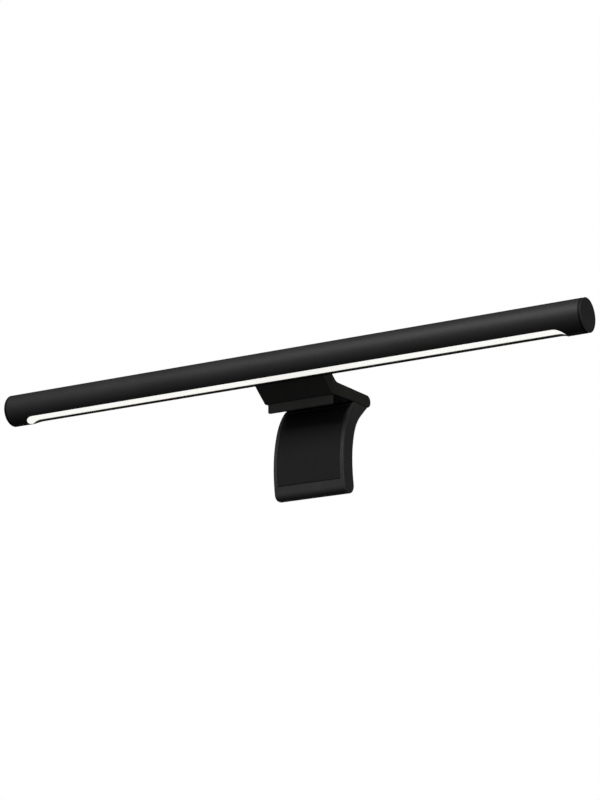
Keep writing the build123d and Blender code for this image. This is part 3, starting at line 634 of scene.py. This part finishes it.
contact_corners, contact_faces = [], []
for face in (1, -1):
    for index in range(CONTACT_COUNT):
        base = len(contact_corners)
        contact_corners += contact_points((index - (CONTACT_COUNT - 1) / 2) * CONTACT_PITCH, face)
        rings = [[base + 4 * ring + k for k in range(4)] for ring in range(3)]
        sides = [rings[0][::-1], rings[2]]
        for low, high in zip(rings, rings[1:]):
            sides += [[low[k], low[(k + 1) % 4], high[(k + 1) % 4], high[k]] for k in range(4)]
        contact_faces += [side if face < 0 else side[::-1] for side in sides]
contact_mesh = bpy.data.meshes.new("socket_contacts")
contact_mesh.from_pydata([point * MM for point in contact_corners], [], contact_faces)
contacts = bpy.data.objects.new("socket_contacts", contact_mesh)
scene.collection.objects.link(contacts)
contact_gold = surface(
    "contact_gold", (0.83, 0.61, 0.24), 0.25, metallic=1.0, tone=0.06, tone_size=1.5, grain_size=0.1,
    grain_depth=0.002, edge=0.02)
contact_mesh.materials.append(contact_gold)
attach(contacts, "bar")

# ================================================================ floor, light and camera
# metres, except the glow and the size of the patches in millimetres
FLOOR_DROP, FLOOR_RADIUS, FLOOR_GLOW, FLOOR_PATCH = 1.15, 18.0, 0.85, 400.0


def stage_disc(name, radius, height, rings, spokes):
    """A flat round floor made of rings that grow wider outwards."""
    points = [(0.0, 0.0, height)]
    faces = []
    for ring in range(1, rings + 1):
        reach = radius * (ring / rings) ** 2
        for spoke in range(spokes):
            turn = 2 * math.pi * spoke / spokes
            points.append((reach * math.cos(turn), reach * math.sin(turn), height))
    for spoke in range(spokes):
        faces.append((0, 1 + spoke, 1 + (spoke + 1) % spokes))
    for ring in range(1, rings):
        for spoke in range(spokes):
            here = 1 + (ring - 1) * spokes + spoke
            beside = 1 + (ring - 1) * spokes + (spoke + 1) % spokes
            faces.append((here, here + spokes, beside + spokes, beside))
    mesh = bpy.data.meshes.new(name)
    mesh.from_pydata(points, [], faces)
    made = bpy.data.objects.new(name, mesh)
    scene.collection.objects.link(made)
    return made


floor = stage_disc("floor", FLOOR_RADIUS, cad_low.z - FLOOR_DROP, rings=6, spokes=64)
floor_material, floor_tree, floor_shader, floor_place = start_material("floor_paint")
floor_patches = noise(floor_tree, floor_place, FLOOR_PATCH)
floor_tone = mix_colour(floor_tree, floor_patches, (0.80, 0.80, 0.80), (0.84, 0.84, 0.84))
floor_tree.links.new(floor_tone, floor_shader.inputs["Base Color"])
floor_tree.links.new(floor_tone, floor_shader.inputs["Emission Color"])
floor_shader.inputs["Emission Strength"].default_value = FLOOR_GLOW
floor_shader.inputs["Roughness"].default_value = 0.8
floor.data.materials.append(floor_material)
floor.visible_diffuse = False
floor.visible_glossy = False

world = bpy.data.worlds.new("studio")
world.use_nodes = True
scene.world = world
sky = world.node_tree
sky.nodes.clear()
towards = new_node(sky, "TexCoord").outputs["Generated"]
FILL_FROM, FILL_LEAST, FILL_MOST = (0.25, -0.87, -0.42), 0.02, 0.22
fill = spread(sky, dot_product(sky, towards, FILL_FROM), FILL_LEAST, FILL_MOST, -0.1, 1.0)
seen = new_node(sky, "LightPath").outputs["Is Camera Ray"]
strength = math_node(sky, "MAXIMUM", fill, seen)
background = new_node(sky, "Background", {"Color": (1.0, 1.0, 1.0, 1.0), "Strength": strength})
new_node(sky, "OutputWorld", {"Surface": background.outputs[0]})


def area_light(name, place, width, height, energy):
    """A white soft box aimed at the origin of the object's frame."""
    light = bpy.data.lights.new(name, "AREA")
    light.shape = "RECTANGLE"
    light.size = width
    light.size_y = height
    light.energy = energy
    made = bpy.data.objects.new(name, light)
    made.location = place
    made.rotation_mode = "QUATERNION"
    made.rotation_quaternion = (-Vector(place)).to_track_quat("-Z", "Y")
    scene.collection.objects.link(made)
    return made


area_light("key", (-0.02, -1.00, 0.93), width=1.15, height=0.9, energy=21.5)
area_light("side", (1.60, -0.05, 0.20), width=0.7, height=0.7, energy=7.5)
# the back light gives no highlights, and a weak light at the same place gives fainter ones instead
BEHIND = (-0.50, 1.40, -0.15)
area_light("back", BEHIND, width=1.1, height=0.9, energy=26.0).visible_glossy = False
area_light("glance", BEHIND, width=1.1, height=0.9, energy=2.0).visible_diffuse = False

camera = bpy.data.objects.new("camera", bpy.data.cameras.new("camera"))
scene.collection.objects.link(camera)
CAMERA_PLACE, CAMERA_LENS, CAMERA_FAR = (0.8338, -1.3671, -0.4261), 110.475, 60.0
AZIMUTH, ELEVATION = math.radians(31.6), math.radians(-14.99)
level = math.cos(ELEVATION)
looking = Vector((-math.sin(AZIMUTH) * level, math.cos(AZIMUTH) * level, -math.sin(ELEVATION)))
camera.location = CAMERA_PLACE
camera.rotation_mode = "QUATERNION"
camera.rotation_quaternion = looking.to_track_quat("-Z", "Y")
camera.data.lens = CAMERA_LENS
camera.data.clip_end = CAMERA_FAR
scene.camera = camera

scene.view_settings.view_transform = "Standard"
